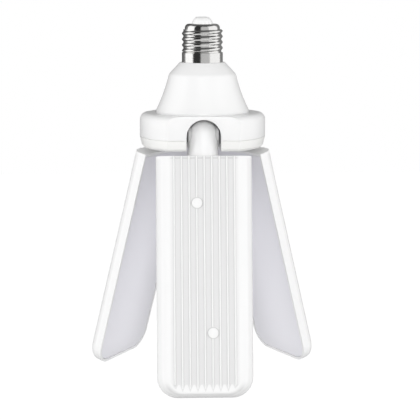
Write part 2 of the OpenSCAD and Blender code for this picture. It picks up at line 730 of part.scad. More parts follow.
module leds(leaf) color("khaki") hinged(leaf)
    for (column = [0:led_columns - 1], row = [0:led_rows - 1])
        translate([led_face - led_t, (column - (led_columns - 1) / 2) * led_pitch - led_w / 2,
            (row - (led_rows - 1) / 2) * led_pitch - (board_high + board_low + led_len) / 2])
            cube([led_t, led_w, led_len]);

module board_screws(leaf) color("silver") hinged(leaf) for (k = [0, 1])
    translate([led_face, boss_y[k], boss_z[k]]) rotate([0, -90, 0])
        screw(screw_r, rib_top - boss_cap - head_sink - led_face, screw_head_r, screw_head_h);

module leaf_lead(leaf) color("white") hinged(leaf) {
    bend = [lead_hole_x, 0, -lead_bend];
    inside = -leaf_drop - cavity_inset;
    turn_r = 2.2 * lead_r;
    low = inside - lead_r - turn_r;
    lead(concat(
        [bend * lead_stop / norm(bend), bend],
        [for (p = arc(lead_hole_x + turn_r, low, turn_r, 180, 270, 4)) [p[0], 0, p[1]]],
        [[led_face, 0, low - turn_r]]), lead_r);
}

module diffuser(leaf) color("lavender") hinged(leaf) {
    inset = pocket_inset + diffuser_gap;
    slab(diffuser_face, ledge_at) leaf_outline(inset, inset, inset, corner_r - inset);
}

centre_contact();
cap_insulator();
screw_shell();
bell_housing();
bell_screws();
hub_upper();
hub_cover();
cover_screws();
driver_board();
driver_screws();
smoothing_capacitor();
driver_transformer();
bridge_rectifier();
driver_chip();
fuse_resistor();
supply_leads();
output_leads();
pivots(FRONT);  // front_pivots
washers(FRONT);  // front_washers
arm(FRONT);  // front_arm
arm_screws(FRONT);  // front_arm_screws
housing(FRONT);  // front_housing
led_board(FRONT);  // front_led_board
leds(FRONT);  // front_leds
board_screws(FRONT);  // front_board_screws
leaf_lead(FRONT);  // front_lead
diffuser(FRONT);  // front_diffuser
pivots(RIGHT);  // right_pivots
washers(RIGHT);  // right_washers
arm(RIGHT);  // right_arm
arm_screws(RIGHT);  // right_arm_screws
housing(RIGHT);  // right_housing
led_board(RIGHT);  // right_led_board
leds(RIGHT);  // right_leds
board_screws(RIGHT);  // right_board_screws
leaf_lead(RIGHT);  // right_lead
diffuser(RIGHT);  // right_diffuser
pivots(LEFT);  // left_pivots
washers(LEFT);  // left_washers
arm(LEFT);  // left_arm
arm_screws(LEFT);  // left_arm_screws
housing(LEFT);  // left_housing
led_board(LEFT);  // left_led_board
leds(LEFT);  // left_leds
board_screws(LEFT);  // left_board_screws
leaf_lead(LEFT);  // left_lead
diffuser(LEFT);  // left_diffuser
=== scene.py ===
import json
import math

import bmesh
import bpy
from mathutils import Matrix, Vector


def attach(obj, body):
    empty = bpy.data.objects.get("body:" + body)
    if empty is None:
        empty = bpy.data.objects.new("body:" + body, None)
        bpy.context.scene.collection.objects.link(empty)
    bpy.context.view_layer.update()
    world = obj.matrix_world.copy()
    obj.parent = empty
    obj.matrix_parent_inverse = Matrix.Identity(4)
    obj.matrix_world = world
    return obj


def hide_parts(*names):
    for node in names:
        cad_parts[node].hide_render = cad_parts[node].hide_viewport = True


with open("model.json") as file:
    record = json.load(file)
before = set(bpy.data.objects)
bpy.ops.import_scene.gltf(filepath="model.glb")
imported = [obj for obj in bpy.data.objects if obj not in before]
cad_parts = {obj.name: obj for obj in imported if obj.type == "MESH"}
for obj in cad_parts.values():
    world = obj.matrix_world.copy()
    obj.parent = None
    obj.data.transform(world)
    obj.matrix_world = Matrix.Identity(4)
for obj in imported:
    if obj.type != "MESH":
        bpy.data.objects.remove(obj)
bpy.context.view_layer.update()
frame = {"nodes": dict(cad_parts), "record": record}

# ---- Screw shell ----
# The shell of a 27 mm screw cap, in nickel-plated sheet: plain skirt, four thread turns, rounded shoulder.
# Its outline is spun round the axis, then the thread is rolled in by moving each point to its own radius.
# The lamp's sizes are in millimetres, here and in the sections below.
MM = 0.001
HAIR = 0.01  # what lies this near a line or a face counts as on it
MERGE_METRES = 1e-6
SKIRT_R, SKIRT_H, SKIRT_ROUND = 13.1, 6.2, 0.35
CREST_R, ROOT_R = 13.05, 12.1
THREAD_PITCH, THREAD_TURNS, THREAD_START, THREAD_FADE = 3.63, 4, math.radians(80), 0.7
THREAD_TOP = SKIRT_H + THREAD_PITCH * THREAD_TURNS
SHELL_TOP, SHELL_WALL, SHELL_MOUTH_R = THREAD_TOP + 3.5, 0.5, 8.2
SHOULDER_R, SHOULDER_ROUND, SHOULDER_DEPTH = 11.2, 2.55, 2.2
SHELL_RINGS = 60


class Shade:
    """A socket of a finish; arithmetic on it adds Math nodes."""

    def __init__(self, finish, socket):
        self.finish, self.socket = finish, socket

    def math(self, operation, first, second=0.0):
        return self.finish.node("Math", {"operation": operation}, {0: first, 1: second})

    def __add__(self, other):
        return self.math("ADD", self, other)

    def __sub__(self, other):
        return self.math("SUBTRACT", self, other)

    def __rsub__(self, other):
        return self.math("SUBTRACT", other, self)

    def __mul__(self, other):
        return self.math("MULTIPLY", self, other)

    def __truediv__(self, other):
        return self.math("DIVIDE", self, other)

    def __abs__(self):
        return self.math("ABSOLUTE", self)

    def root(self):
        return self.math("SQRT", self)

    def or_more(self, other):
        return self.math("MAXIMUM", self, other)

    __radd__, __rmul__ = __add__, __mul__


class Finish:
    """The nodes of one material. Plain sockets are given by name; what varies is written as expressions."""

    MIX_FACTOR, MIX_LOW, MIX_HIGH, MIX_RESULT = 0, 6, 7, 2

    def __init__(self, name, owner=None, shader="Principled BSDF", **plain):
        self.material = owner or bpy.data.materials.new(name)
        self.material.use_nodes = True
        self.tree = self.material.node_tree
        self.shader = self.tree.nodes[shader]
        for socket, value in plain.items():
            self.set(socket.replace("_", " "), value)

    def node(self, kind, settings=(), sockets=(), output=0):
        made = self.tree.nodes.new("ShaderNode" + kind)
        for key, value in dict(settings).items():
            setattr(made, key, value)
        for key, value in dict(sockets).items():
            self.join(made.inputs[key], value)
        return Shade(self, made.outputs[output])

    def join(self, socket, value):
        if isinstance(value, Shade):
            self.tree.links.new(value.socket, socket)
        else:
            socket.default_value = value

    def set(self, socket, value):
        self.join(self.shader.inputs[socket], value)

    def noise(self, scale, detail, stretch=(1, 1, 1)):
        place = self.node("TexCoord", output="Object")
        spot = self.node("Mapping", {}, {"Vector": place, "Scale": stretch})
        return self.node("TexNoise", {}, {"Vector": spot, "Scale": scale, "Detail": detail})

    def between(self, low, high, factor):
        """From one colour to another; each is three numbers or what another node gives."""
        low, high = (colour if isinstance(colour, Shade) else (*colour, 1) for colour in (low, high))
        sockets = {self.MIX_FACTOR: factor, self.MIX_LOW: low, self.MIX_HIGH: high}
        return self.node("Mix", {"data_type": "RGBA"}, sockets, self.MIX_RESULT)

    def band(self, value, start, end):
        """0 below start and 1 above end, smooth in between."""
        sockets = {"Value": value, "From Min": start, "From Max": end}
        return self.node("MapRange", {"interpolation_type": "SMOOTHSTEP"}, sockets)

    def bump(self, height, microns, strength=1.0):
        sockets = {"Height": height, "Distance": microns * 1e-6, "Strength": strength}
        self.set("Normal", self.node("Bump", {}, sockets))


def merged(bm, distance):
    bmesh.ops.remove_doubles(bm, verts=bm.verts, dist=distance)


def turned(outline, steps):
    """A closed outline of (radius, height) spun round the axis; a third number rounds that corner."""
    bm = bmesh.new()
    corners = [bm.verts.new((r * MM, 0, z * MM)) for r, z, *_ in outline]
    for a, b in zip(corners, corners[1:] + corners[:1]):
        bm.edges.new((a, b))
    for corner, (_, _, *rounding) in zip(corners, outline):
        for radius in rounding:
            bmesh.ops.bevel(bm, geom=[corner], offset=radius * MM, offset_type="OFFSET", segments=6,
                            profile=0.5, affect="VERTICES", material=-1)
    bmesh.ops.spin(bm, geom=bm.verts[:] + bm.edges[:], cent=(0, 0, 0), axis=(0, 0, 1),
                   angle=math.tau, steps=steps, use_merge=True)
    merged(bm, MERGE_METRES)
    bmesh.ops.delete(bm, geom=[e for e in bm.edges if not e.link_faces], context="EDGES")
    bmesh.ops.recalc_face_normals(bm, faces=bm.faces)
    return bm


def made(name, bm, finish, body, replaces, slot, crease=32):
    """The finished piece: smooth but for its creases, with its finish, body and CAD nodes; its slot is not
    used.
    """
    mesh = bpy.data.meshes.new(name)
    bm.to_mesh(mesh)
    bm.free()
    for face in mesh.polygons:
        face.use_smooth = True
    mesh.set_sharp_from_angle(angle=math.radians(crease))
    mesh.materials.append(finish.material)
    piece = bpy.data.objects.new(name, mesh)
    bpy.context.scene.collection.objects.link(piece)
    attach(piece, body)
    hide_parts(*replaces)


nickel = Finish("bright_nickel", Metallic=1.0)
streak = nickel.noise(900, detail=2.0, stretch=(0.05, 0.05, 3.0))
smudge = nickel.noise(160, detail=3.0)
nickel.set("Base Color", nickel.between((0.82, 0.815, 0.80), (0.90, 0.895, 0.885), smudge))
nickel.set("Roughness", 0.10 + 0.07 * smudge + 0.04 * streak)
nickel.bump(streak, microns=4)

skirt_in, root_in, shoulder_in = (r - SHELL_WALL for r in (SKIRT_R, ROOT_R, SHOULDER_R))
skirt_under, thread_under = SKIRT_H - SHELL_WALL, THREAD_TOP - SHELL_WALL
threaded = THREAD_TOP - SKIRT_H
shell_outline = [(skirt_in, 0), (SKIRT_R, 0), (SKIRT_R, SKIRT_H, SKIRT_ROUND)]
shell_outline += [(ROOT_R, SKIRT_H + threaded * k / SHELL_RINGS) for k in range(SHELL_RINGS + 1)]
shell_outline += [(SHOULDER_R, THREAD_TOP), (SHOULDER_R, SHELL_TOP, SHOULDER_ROUND),
                  (SHELL_MOUTH_R, SHELL_TOP), (SHELL_MOUTH_R, SHELL_TOP - SHELL_WALL),
                  (shoulder_in, SHELL_TOP - SHOULDER_DEPTH), (shoulder_in, thread_under),
                  (root_in, thread_under), (root_in, skirt_under), (skirt_in, skirt_under)]
shell = turned(shell_outline, 128)
for vert in shell.verts:
    radius, angle = math.hypot(vert.co.x, vert.co.y), math.atan2(vert.co.y, vert.co.x)
    height = vert.co.z / MM
    if abs(radius / MM - ROOT_R) < HAIR and SKIRT_H - HAIR < height < THREAD_TOP + HAIR:
        phase = math.tau * (height - SKIRT_H) / THREAD_PITCH - angle + THREAD_START
        fade = max(0.0, min(1.0, (height - SKIRT_H) / THREAD_FADE, (THREAD_TOP - height) / THREAD_FADE))
        rolled = ROOT_R + (CREST_R - ROOT_R) * fade * (0.5 + 0.5 * math.cos(phase))
        vert.co.xy = vert.co.xy * (rolled * MM / radius)
made("shell_rolled", shell, nickel, "hub", ["screw_shell"], "nickel_shell")

# ---- Insulator and centre contact ----
# A white glass-filled ring stands in the top of the shell, and a rivet under a dome of solder sits on it.
# Both are turned; the dome's edge is rounded where the solder has flowed.
INSULATOR_FOOT, INSULATOR_TOP, RIVET_HOLE_R = SHELL_TOP - 4, SHELL_TOP + 3.3, 1.3
SEAT_R, RING_R, RING_TOP_R, RING_EDGE_Z = 8.1, 6.65, 5.3, SHELL_TOP + 0.9
RING_ROUND, RING_TOP_ROUND = 0.8, 0.5
RIVET_R, RIVET_FOOT = 1.2, INSULATOR_TOP - 7
SOLDER_R, SOLDER_FOOT, SOLDER_ROUND = 4.8, INSULATOR_TOP - 0.1, 0.2
SOLDER_TOP_R, SOLDER_TOP, SOLDER_TOP_ROUND = 4.2, INSULATOR_TOP + 1.1, 0.9

ceramic = Finish("insulator_white", Coat_Weight=0.3, Coat_Roughness=0.15)
grain = ceramic.noise(700, detail=3.0)
ceramic.set("Base Color", ceramic.between((0.91, 0.91, 0.905), (0.95, 0.95, 0.945), grain))
ceramic.set("Roughness", 0.25 + 0.15 * grain)
ceramic.bump(grain, microns=20, strength=0.5)
insulator = turned([(RIVET_HOLE_R, INSULATOR_FOOT), (SEAT_R, INSULATOR_FOOT), (SEAT_R, SHELL_TOP),
                    (RING_R, SHELL_TOP), (RING_R, RING_EDGE_Z, RING_ROUND),
                    (RING_TOP_R, INSULATOR_TOP, RING_TOP_ROUND), (RIVET_HOLE_R, INSULATOR_TOP)], 72)
made("insulator_ring", insulator, ceramic, "hub", ["cap_insulator"], "insulator")

solder = Finish("solder_tin", Metallic=0.3)
ripple = solder.noise(500, detail=3.0)
solder.set("Base Color", solder.between((0.91, 0.91, 0.905), (0.96, 0.96, 0.955), ripple))
solder.set("Roughness", 0.42 + 0.15 * ripple)
solder.bump(ripple, microns=40, strength=0.6)
contact = turned([(0, RIVET_FOOT), (RIVET_R, RIVET_FOOT), (RIVET_R, SOLDER_FOOT),
                  (SOLDER_R, SOLDER_FOOT, SOLDER_ROUND), (SOLDER_TOP_R, SOLDER_TOP, SOLDER_TOP_ROUND),
                  (0, SOLDER_TOP)], 64)
made("contact_rivet", contact, solder, "hub", ["centre_contact"], "contact_metal")

# ---- Bell ----
# The moulded white bell that holds the driver: sloping shoulder, a flare hollowed a little, upright foot.
# Its wall is one closed outline, with the ledge and spigot that the shell stands on and the neck above them.
# Every outer corner is rounded, and inside the wall keeps its thickness where the outside slopes.
SPIGOT_R, SPIGOT_H = 12.5, 5.6
NECK_R, NECK_BORE_R, NECK_H = 11.5, 9.5, 12
LEDGE_R, LEDGE_ROUND = 14.4, 0.45
BELL_SHOULDER_R, BELL_SHOULDER_Z, BELL_SHOULDER_ROUND = 21.5, -7.6, 1.1
BELL_H, BELL_WALL = 32.4, 1.8
FOOT_R, FOOT_TOP, FOOT_ROUND, RIM_ROUND = 29.8, 2.0 - BELL_H, 0.5, 0.3
FLARE_SAG, FLARE_STEPS = 0.75, 12
INNER_FOOT_IN, INNER_SHOULDER_DOWN = 0.4, 1.0
CLOUD_DARKEST = 0.985


def white_moulding(name, tone, roughness, grain_microns):
    """Glossy white plastic: a faint cloud of tone, the fine unevenness of a polished mould, a few scuffs."""
    white = Finish(name)
    cloud, pores = white.noise(22, detail=3.0), white.noise(1500, detail=2.0)
    scuff = white.band(white.noise(60, detail=6.0, stretch=(1, 1, 0.3)), 0.62, 0.72)
    white.set("Base Color", white.between([CLOUD_DARKEST * c for c in tone], tone, cloud))
    white.set("Roughness", roughness + 0.05 * cloud + 0.06 * scuff)
    white.bump(pores, grain_microns)
    return white


gloss_white = white_moulding("gloss_white", (0.88, 0.88, 0.88), 0.24, 6)
flare = []
for k in range(FLARE_STEPS + 1):
    down = k / FLARE_STEPS
    straight = BELL_SHOULDER_R + (FOOT_R - BELL_SHOULDER_R) * down
    hollow = 4 * FLARE_SAG * down * (1 - down)
    flare.append((straight - hollow, BELL_SHOULDER_Z + (FOOT_TOP - BELL_SHOULDER_Z) * down))
flare[0] += (BELL_SHOULDER_ROUND,)
flare[-1] += (FOOT_ROUND,)
foot_in, bell_shoulder_in, ledge_in = (r - BELL_WALL for r in (FOOT_R, BELL_SHOULDER_R, LEDGE_R))
bell_outline = [(NECK_BORE_R, NECK_H), (NECK_R, NECK_H), (NECK_R, SPIGOT_H), (SPIGOT_R, SPIGOT_H),
                (SPIGOT_R, 0), (LEDGE_R, 0, LEDGE_ROUND), *flare, (FOOT_R, -BELL_H, RIM_ROUND),
                (foot_in, -BELL_H), (foot_in - INNER_FOOT_IN, FOOT_TOP),
                (bell_shoulder_in, BELL_SHOULDER_Z - INNER_SHOULDER_DOWN), (ledge_in, -BELL_WALL),
                (NECK_BORE_R, -BELL_WALL)]
made("bell_moulding", turned(bell_outline, 128), gloss_white, "hub", ["bell_housing"], "white_gloss", 40)

# ---- Hub ----
# The hub's two white mouldings: a round upper half with three flats and arched pockets, and a cover below it.
# Each is a copy of its solid, merged and cleaned, and every sharp edge gets the small radius of a moulding.
FLAT_ANGLE, SHARP_ANGLE = math.radians(0.5), math.radians(30)


def rounded(bm, edges, radius, segments=2, clamp=False):
    """Rounds edges; a clamp keeps the rounding within the faces beside them."""
    bmesh.ops.bevel(bm, geom=edges, offset=radius, offset_type="OFFSET", segments=segments, profile=0.5,
                    affect="EDGES", clamp_overlap=clamp, material=-1)


def moulded_copy(node, edge):
    """A copy of a node's solid, merged, its flats joined and its sharp edges rounded."""
    bm = bmesh.new()
    bm.from_mesh(frame["nodes"][node].data)
    merged(bm, MERGE_METRES)
    bmesh.ops.dissolve_limit(bm, angle_limit=FLAT_ANGLE, verts=bm.verts, edges=bm.edges)
    sharp = [e for e in bm.edges if len(e.link_faces) == 2 and e.calc_face_angle() > SHARP_ANGLE]
    rounded(bm, sharp, edge * MM, clamp=True)
    return bm


hub_white = white_moulding("hub_white", (0.86, 0.86, 0.86), 0.27, 8)
cover_white = white_moulding("cover_white", (0.855, 0.855, 0.84), 0.30, 8)
made("hub_upper_moulding", moulded_copy("hub_upper", 0.3), hub_white, "hub", ["hub_upper"], "white_gloss")
made("hub_cover_moulding", moulded_copy("hub_cover", 0.25), cover_white, "hub", ["hub_cover"], "white_gloss")

# ---- Arms ----
# The domed arms that stand in the hub's pockets and carry the leaves, moulded in the bell's white.
# Each turns on two pins between washers; the round bosses at its sides are painted grey, a painted shade for
# the dark gap round them.
HINGE_AT, HINGE_Z = 20.9, -44.7
LEAVES = {"front": (-90, 12.4), "right": (30, 15.2), "left": (150, 15.2)}
PIVOT_BOSS_R, PIVOT_BOSS_FROM = 5.4, 6.5


def hinged(leaf):
    """From a leaf's own frame, X out, Y along its pivots and Z up, to the lamp's."""
    turn, tilt = LEAVES[leaf]
    return (Matrix.Rotation(math.radians(turn), 4, "Z") @ Matrix.Translation((HINGE_AT * MM, 0, HINGE_Z * MM))
            @ Matrix.Rotation(math.radians(-tilt), 4, "Y") @ Matrix.Scale(MM, 4))


def keep_leaf_place(bm, to_leaf):
    """Keeps each point's place in its leaf's own frame, for the finish to read."""
    place = bm.verts.layers.float_vector.new("leaf_place")
    for vert in bm.verts:
        vert[place] = to_leaf @ vert.co


def read_leaf_place(finish):
    """How far a point lies out, along the pivots and up in its leaf's own frame."""
    place = finish.node("Attribute", {"attribute_name": "leaf_place"}, output="Vector")
    return (finish.node("SeparateXYZ", {}, {"Vector": place}, axis) for axis in "XYZ")


arm_white = Finish("arm_white")
mould_cloud, mould_pores = arm_white.noise(22, detail=3.0), arm_white.noise(1500, detail=2.0)
outward, sideways, upward = read_leaf_place(arm_white)
# Painted shade: the rings of the pivot bosses are greyed for the shade in the gaps beside the arm.
off_boss = abs((outward * outward + upward * upward).root() - PIVOT_BOSS_R)
at_side = arm_white.band(abs(sideways), PIVOT_BOSS_FROM, PIVOT_BOSS_FROM + 1)
boss_gap_shade = (1 - arm_white.band(off_boss, 0.1, 0.4)) * at_side
unshaded_white = arm_white.between((0.867, 0.867, 0.867), (0.88, 0.88, 0.88), mould_cloud)
arm_white.set("Base Color", arm_white.between(unshaded_white, (0.6, 0.6, 0.6), boss_gap_shade))
arm_white.set("Roughness", 0.24 + 0.05 * mould_cloud)
arm_white.bump(mould_pores, microns=6)
for leaf in LEAVES:
    arm = moulded_copy(f"{leaf}_arm", 0.25)
    keep_leaf_place(arm, hinged(leaf).inverted())
    made(f"{leaf}_arm_moulding", arm, arm_white, f"{leaf}_leaf", [f"{leaf}_arm"], "white_gloss")

# ---- Leaf housings ----
# The back of each leaf is a tray of cast metal with a white powder coat: straight side walls, a rounded back
# edge, two bosses, and nine ribs that run out near the lower end. It is shaped lying on its own axes, X out,
# Y across and Z up from the pivots, and then set on its hinge.
LEAF_W, LEAF_LEN, LEAF_DROP, CORNER_R = 60.0, 150.2, 14.0, 13.0
LEAF_END = LEAF_DROP + LEAF_LEN
RIM, WALL_TOP, BACK = 0.4, 4.7, 10.7
SIDE_SLOPE, END_SLOPE, SLOPE_STEPS = 8.0, 4.7, 9
RIBS, RIB_PITCH, RIB_W, RIB_H, RIB_EDGE = 9, 4.7, 0.8, 0.8, 0.18
RIB_STOP, RIB_RAMP = 9.0, 3.0
RIB_LINES = [(k - (RIBS - 1) / 2) * RIB_PITCH for k in range(RIBS)]
BOSSES = ((-4.5, -43.3), (5.0, -123.8))  # each one's place across and up
BOSS_R, BOSS_TOP, BOSS_RING, BOSS_SUNK, BOSS_EDGE = 3.15, 11.6, 0.5, 0.6, 0.2
RIM_LEDGES = ((1.8, 2.2), (1.2, WALL_TOP))  # each one's width and the depth that it leads to
TRAY_FLOOR, TRAY_W_SHARE, TRAY_LEN_SHARE, TRAY_DOWN = 8.9, 0.76, 0.95, 1.0
LEAF_MERGE = 1e-4
# Tones of painted shade on the coat: in the grooves, at the ribs' roots and ends, below the top end and on
# the rounded edge.
GROOVE_SHADE_TONE, OUTER_GROOVE_SHADE_LESS, ROOT_SHADOW_TONE, RIB_END_SHADOW_TONE, TOP_END_SHADOW_TONE = 0.5, 0.3, 0.6, 0.6, 0.5
END_EDGE_SHADE_TONE, SHADE_LINE_TONE, LONG_EDGE_SHADE_TONE, SHADE_LINE_DEPTHS = 0.75, 0.35, 0.32, (8.7, 9.9)


def leaf_blank(low, high, inset):
    """A leaf's outline from one depth to another, drawn in by inset, its two lower corners rounded."""
    bm = bmesh.new()
    bmesh.ops.create_cube(bm, size=1.0)
    tall = LEAF_LEN - 2 * inset
    bmesh.ops.scale(bm, vec=(high - low, LEAF_W - 2 * inset, tall), verts=bm.verts)
    bmesh.ops.translate(bm, vec=((low + high) / 2, 0, inset - LEAF_END + tall / 2), verts=bm.verts)
    lower = [e for e in bm.edges if all(v.co.z < -LEAF_LEN / 2 for v in e.verts)]
    rounded(bm, [e for e in lower if abs(e.verts[0].co.x - e.verts[1].co.x) > HAIR], CORNER_R - inset, 12)
    return bm


def raised(bm, faces):
    """Pulls faces out of the surface and leaves walls behind them."""
    grown = bmesh.ops.extrude_face_region(bm, geom=faces)["geom"]
    bmesh.ops.delete(bm, geom=faces, context="FACES")
    return [g for g in grown if isinstance(g, bmesh.types.BMFace)]


def on_back(face):
    return face.calc_center_median().x > BACK - HAIR


def on_rib_line(face):
    return on_back(face) and min(abs(face.calc_center_median().y - line) for line in RIB_LINES) < RIB_W / 2


def on_rib(face):
    """On a rib's line, above its run-out and clear of the bosses."""
    middle = face.calc_center_median()
    clear = all(math.hypot(middle.y - y, middle.z - z) > BOSS_R for y, z in BOSSES)
    return on_rib_line(face) and clear and middle.z > RIB_STOP - RIB_RAMP - LEAF_END


def cut(bm, chosen, at, facing):
    """Cuts the chosen faces, and no others, along a plane."""
    faces = [f for f in bm.faces if chosen(f)]
    edges, corners = (e for f in faces for e in f.edges), (v for f in faces for v in f.verts)
    met = list(dict.fromkeys([*faces, *edges, *corners]))
    bmesh.ops.bisect_plane(bm, geom=met, dist=LEAF_MERGE, plane_co=at, plane_no=facing)


def rounded_back(bm):
    """Draws the back up and in over a quarter turn, more at the sides than at the lower end."""
    back = max(bm.faces, key=lambda f: f.calc_center_median().x)
    start = None
    for k in range(1, SLOPE_STEPS + 1):
        turn = math.pi / 2 * k / SLOPE_STEPS
        back = raised(bm, [back])[0]
        start = start or [v.co.copy() for v in back.verts]
        drawn = 1 - math.cos(turn)
        for vert, at in zip(back.verts, start):
            vert.co.x = WALL_TOP + (BACK - WALL_TOP) * math.sin(turn)
            vert.co.y = at.y * (1 - 2 * SIDE_SLOPE * drawn / LEAF_W)
            vert.co.z = -LEAF_DROP + (at.z + LEAF_DROP) * (1 - END_SLOPE * drawn / LEAF_LEN)


def raised_ribs(bm):
    """Cuts the ribs' outlines into the back, raises them and rounds their top edges."""
    for y in [line + side * RIB_W / 2 for line in RIB_LINES for side in (-1, 1)]:
        cut(bm, on_back, (0, y, 0), (0, 1, 0))
    boss_ends = [z + side * (BOSS_R + BOSS_RING) for _, z in BOSSES for side in (-1, 1)]
    for z in (RIB_STOP - LEAF_END, RIB_STOP - RIB_RAMP - LEAF_END, *boss_ends):
        cut(bm, on_rib_line, (0, 0, z), (0, 0, 1))
    for vert in {v for f in raised(bm, [f for f in bm.faces if on_rib(f)]) for v in f.verts}:
        if vert.co.z > RIB_STOP - LEAF_END - HAIR:
            vert.co.x += RIB_H
    merged(bm, LEAF_MERGE)
    tops = [e for e in bm.edges if all(v.co.x > BACK + RIB_H - HAIR for v in e.verts)]
    rounded(bm, [e for e in tops if abs(e.verts[0].co.z - e.verts[1].co.z) > 1], RIB_EDGE, clamp=True)


def hollowed(bm):
    """Sinks the open side: a ledge for the diffuser, one for the LED board, and the floor behind them."""
    rim = min(bm.faces, key=lambda f: f.calc_center_median().x)
    for inset, depth in RIM_LEDGES:
        bmesh.ops.inset_region(bm, faces=[rim], thickness=inset, use_even_offset=True)
        rim = raised(bm, [rim])[0]
        for vert in rim.verts:
            vert.co.x = depth
    rim = raised(bm, [rim])[0]
    for vert in rim.verts:
        vert.co = (TRAY_FLOOR, vert.co.y * TRAY_W_SHARE, vert.co.z * TRAY_LEN_SHARE - TRAY_DOWN)


def add_bosses(bm):
    for y, z in BOSSES:
        disc = bmesh.ops.create_cone(bm, cap_ends=True, segments=40, radius1=BOSS_R, radius2=BOSS_R,
                                     depth=BOSS_TOP - BACK + BOSS_SUNK)["verts"]
        bmesh.ops.rotate(bm, verts=disc, matrix=Matrix.Rotation(math.pi / 2, 3, "Y"))
        bmesh.ops.translate(bm, verts=disc, vec=((BOSS_TOP + BACK - BOSS_SUNK) / 2, y, z))
        edges = dict.fromkeys(e for v in disc for e in v.link_edges)
        rounded(bm, [e for e in edges if all(v.co.x > BOSS_TOP - HAIR for v in e.verts)], BOSS_EDGE)


coat_white = Finish("powder_coat_white")
orange_peel, cloud = coat_white.noise(1100, detail=2.0), coat_white.noise(14, detail=3.0)
deep, across, along = read_leaf_place(coat_white)
band = coat_white.band

# Painted shade greys the coat where shadow falls. On the floor between the ribs it is most at a rib's root,
# where the rib's shadow lies, less outside the outer ribs, in painted shadows below the ribs' ends, and in a
# fine line below the upper end.
half_pitch, field_half, outer_rib = RIB_PITCH / 2, RIBS / 2 * RIB_PITCH, RIB_LINES[-1]
from_rib = abs(coat_white.node("Math", {"operation": "WRAP"}, {0: across, 1: half_pitch, 2: -half_pitch}))
in_field = 1 - band(abs(across), field_half - 1.0, field_half + 0.8)
on_floor = band(deep, BACK - 0.1, BACK - 0.02) * (1 - band(deep, BACK + 0.02, BACK + 0.1))
past_stop = 1 - band(along, RIB_STOP - 0.6 - LEAF_END, RIB_STOP - LEAF_END)
# Painted shadow beside each rib's root.
root = 1 - band(from_rib, RIB_W / 2 + 0.1, RIB_W / 2 + 0.7)
outer_floor = band(abs(across), outer_rib - 0.1, outer_rib)
run_out = (along + (LEAF_END - END_SLOPE)) / (RIB_STOP - END_SLOPE)
rib_end_shadow = 1 - band(from_rib - 1.5 * run_out, 0.0, 0.5)
top_end_shadow = 1 - band(abs(along + LEAF_DROP + 1.3), 0.25, 0.7)
shade_between_ribs = (1 - past_stop) * (GROOVE_SHADE_TONE - OUTER_GROOVE_SHADE_LESS * outer_floor + ROOT_SHADOW_TONE * root)
shade_below_ribs = RIB_END_SHADOW_TONE * past_stop * rib_end_shadow
painted_shade = on_floor * in_field * (shade_between_ribs + shade_below_ribs + TOP_END_SHADOW_TONE * top_end_shadow)

# A painted shadow ring round each boss.
for y, z in BOSSES:
    off_y, off_z = across - y, along - z
    from_boss = (off_y * off_y + off_z * off_z).root()
    painted_shade = painted_shade + on_floor * (1 - band(from_boss, BOSS_R + 0.3, BOSS_R + BOSS_RING + 0.3))

# Painted shade on the rounded edge: most round the lower end, which faces down, where two painted shade lines
# run, and less along the sides.
below = ((CORNER_R - LEAF_END) - along).or_more(0.001)
beside = (abs(across) - (LEAF_W / 2 - CORNER_R)).or_more(0.0)
at_end = band(below / (below + beside + 0.5), 0.2, 0.65)
end_edge_shade = band(deep, WALL_TOP + 1.5, BACK - 0.6) * (1 - band(deep, BACK - 0.5, BACK - 0.05))
end_shade_lines = sum(1 - band(abs(deep - line), 0.05, 0.3) for line in SHADE_LINE_DEPTHS)
painted_shade = painted_shade + end_edge_shade * at_end * (END_EDGE_SHADE_TONE + SHADE_LINE_TONE * end_shade_lines)
long_edge_shade = band(deep, WALL_TOP + 0.2, WALL_TOP + 1) * (1 - band(deep, BACK - 1.7, BACK - 0.8))
below_top = 1 - band(along, -LEAF_DROP - 3, -LEAF_DROP)
painted_shade = painted_shade + LONG_EDGE_SHADE_TONE * long_edge_shade * (1 - at_end) * below_top

# The coat's own white, and the grey that it turns to under painted shade.
on_flats = coat_white.between((0.855, 0.855, 0.855), (0.875, 0.875, 0.875), cloud)
shaded_white = coat_white.between((0.66, 0.66, 0.66), (0.69, 0.69, 0.69), cloud)
coat_white.set("Base Color", coat_white.between(on_flats, shaded_white, painted_shade))
coat_white.set("Roughness", 0.38 + 0.08 * cloud)
coat_white.bump(orange_peel, microns=10)
for leaf in LEAVES:
    bm = leaf_blank(RIM, WALL_TOP, 0)
    rounded_back(bm)
    raised_ribs(bm)
    hollowed(bm)
    add_bosses(bm)
    bmesh.ops.recalc_face_normals(bm, faces=bm.faces)
    keep_leaf_place(bm, Matrix.Identity(4))
    bmesh.ops.transform(bm, matrix=hinged(leaf), verts=bm.verts)
    made(f"{leaf}_housing_tray", bm, coat_white, f"{leaf}_leaf", [f"{leaf}_housing"], "white_coat", 28)

# ---- Diffusers ----
# A frosted opal sheet covers each leaf's LEDs. It is cut to the leaf's outline, its outer edge is broken,
# and it is clipped into the rim, a hair below it.
SHEET_FACE, SHEET_BACK, SHEET_INSET, SHEET_EDGE = 0.6, 2.2, 2.05, 0.25
opal = Finish("opal_frost")
haze, bead = opal.noise(9, detail=2.0), opal.noise(2200, detail=1.0)
opal.set("Base Color", opal.between((0.83, 0.825, 0.865), (0.85, 0.845, 0.885), haze))
opal.set("Roughness", 0.42 + 0.06 * haze)
opal.bump(bead, microns=10)
for leaf in LEAVES:
    bm = leaf_blank(SHEET_FACE, SHEET_BACK, SHEET_INSET)
    rounded(bm, [e for e in bm.edges if all(v.co.x < SHEET_FACE + HAIR for v in e.verts)], SHEET_EDGE)
    bmesh.ops.transform(bm, matrix=hinged(leaf), verts=bm.verts)
    made(f"{leaf}_diffuser_sheet", bm, opal, f"{leaf}_leaf", [f"{leaf}_diffuser"], "diffuser_frost")

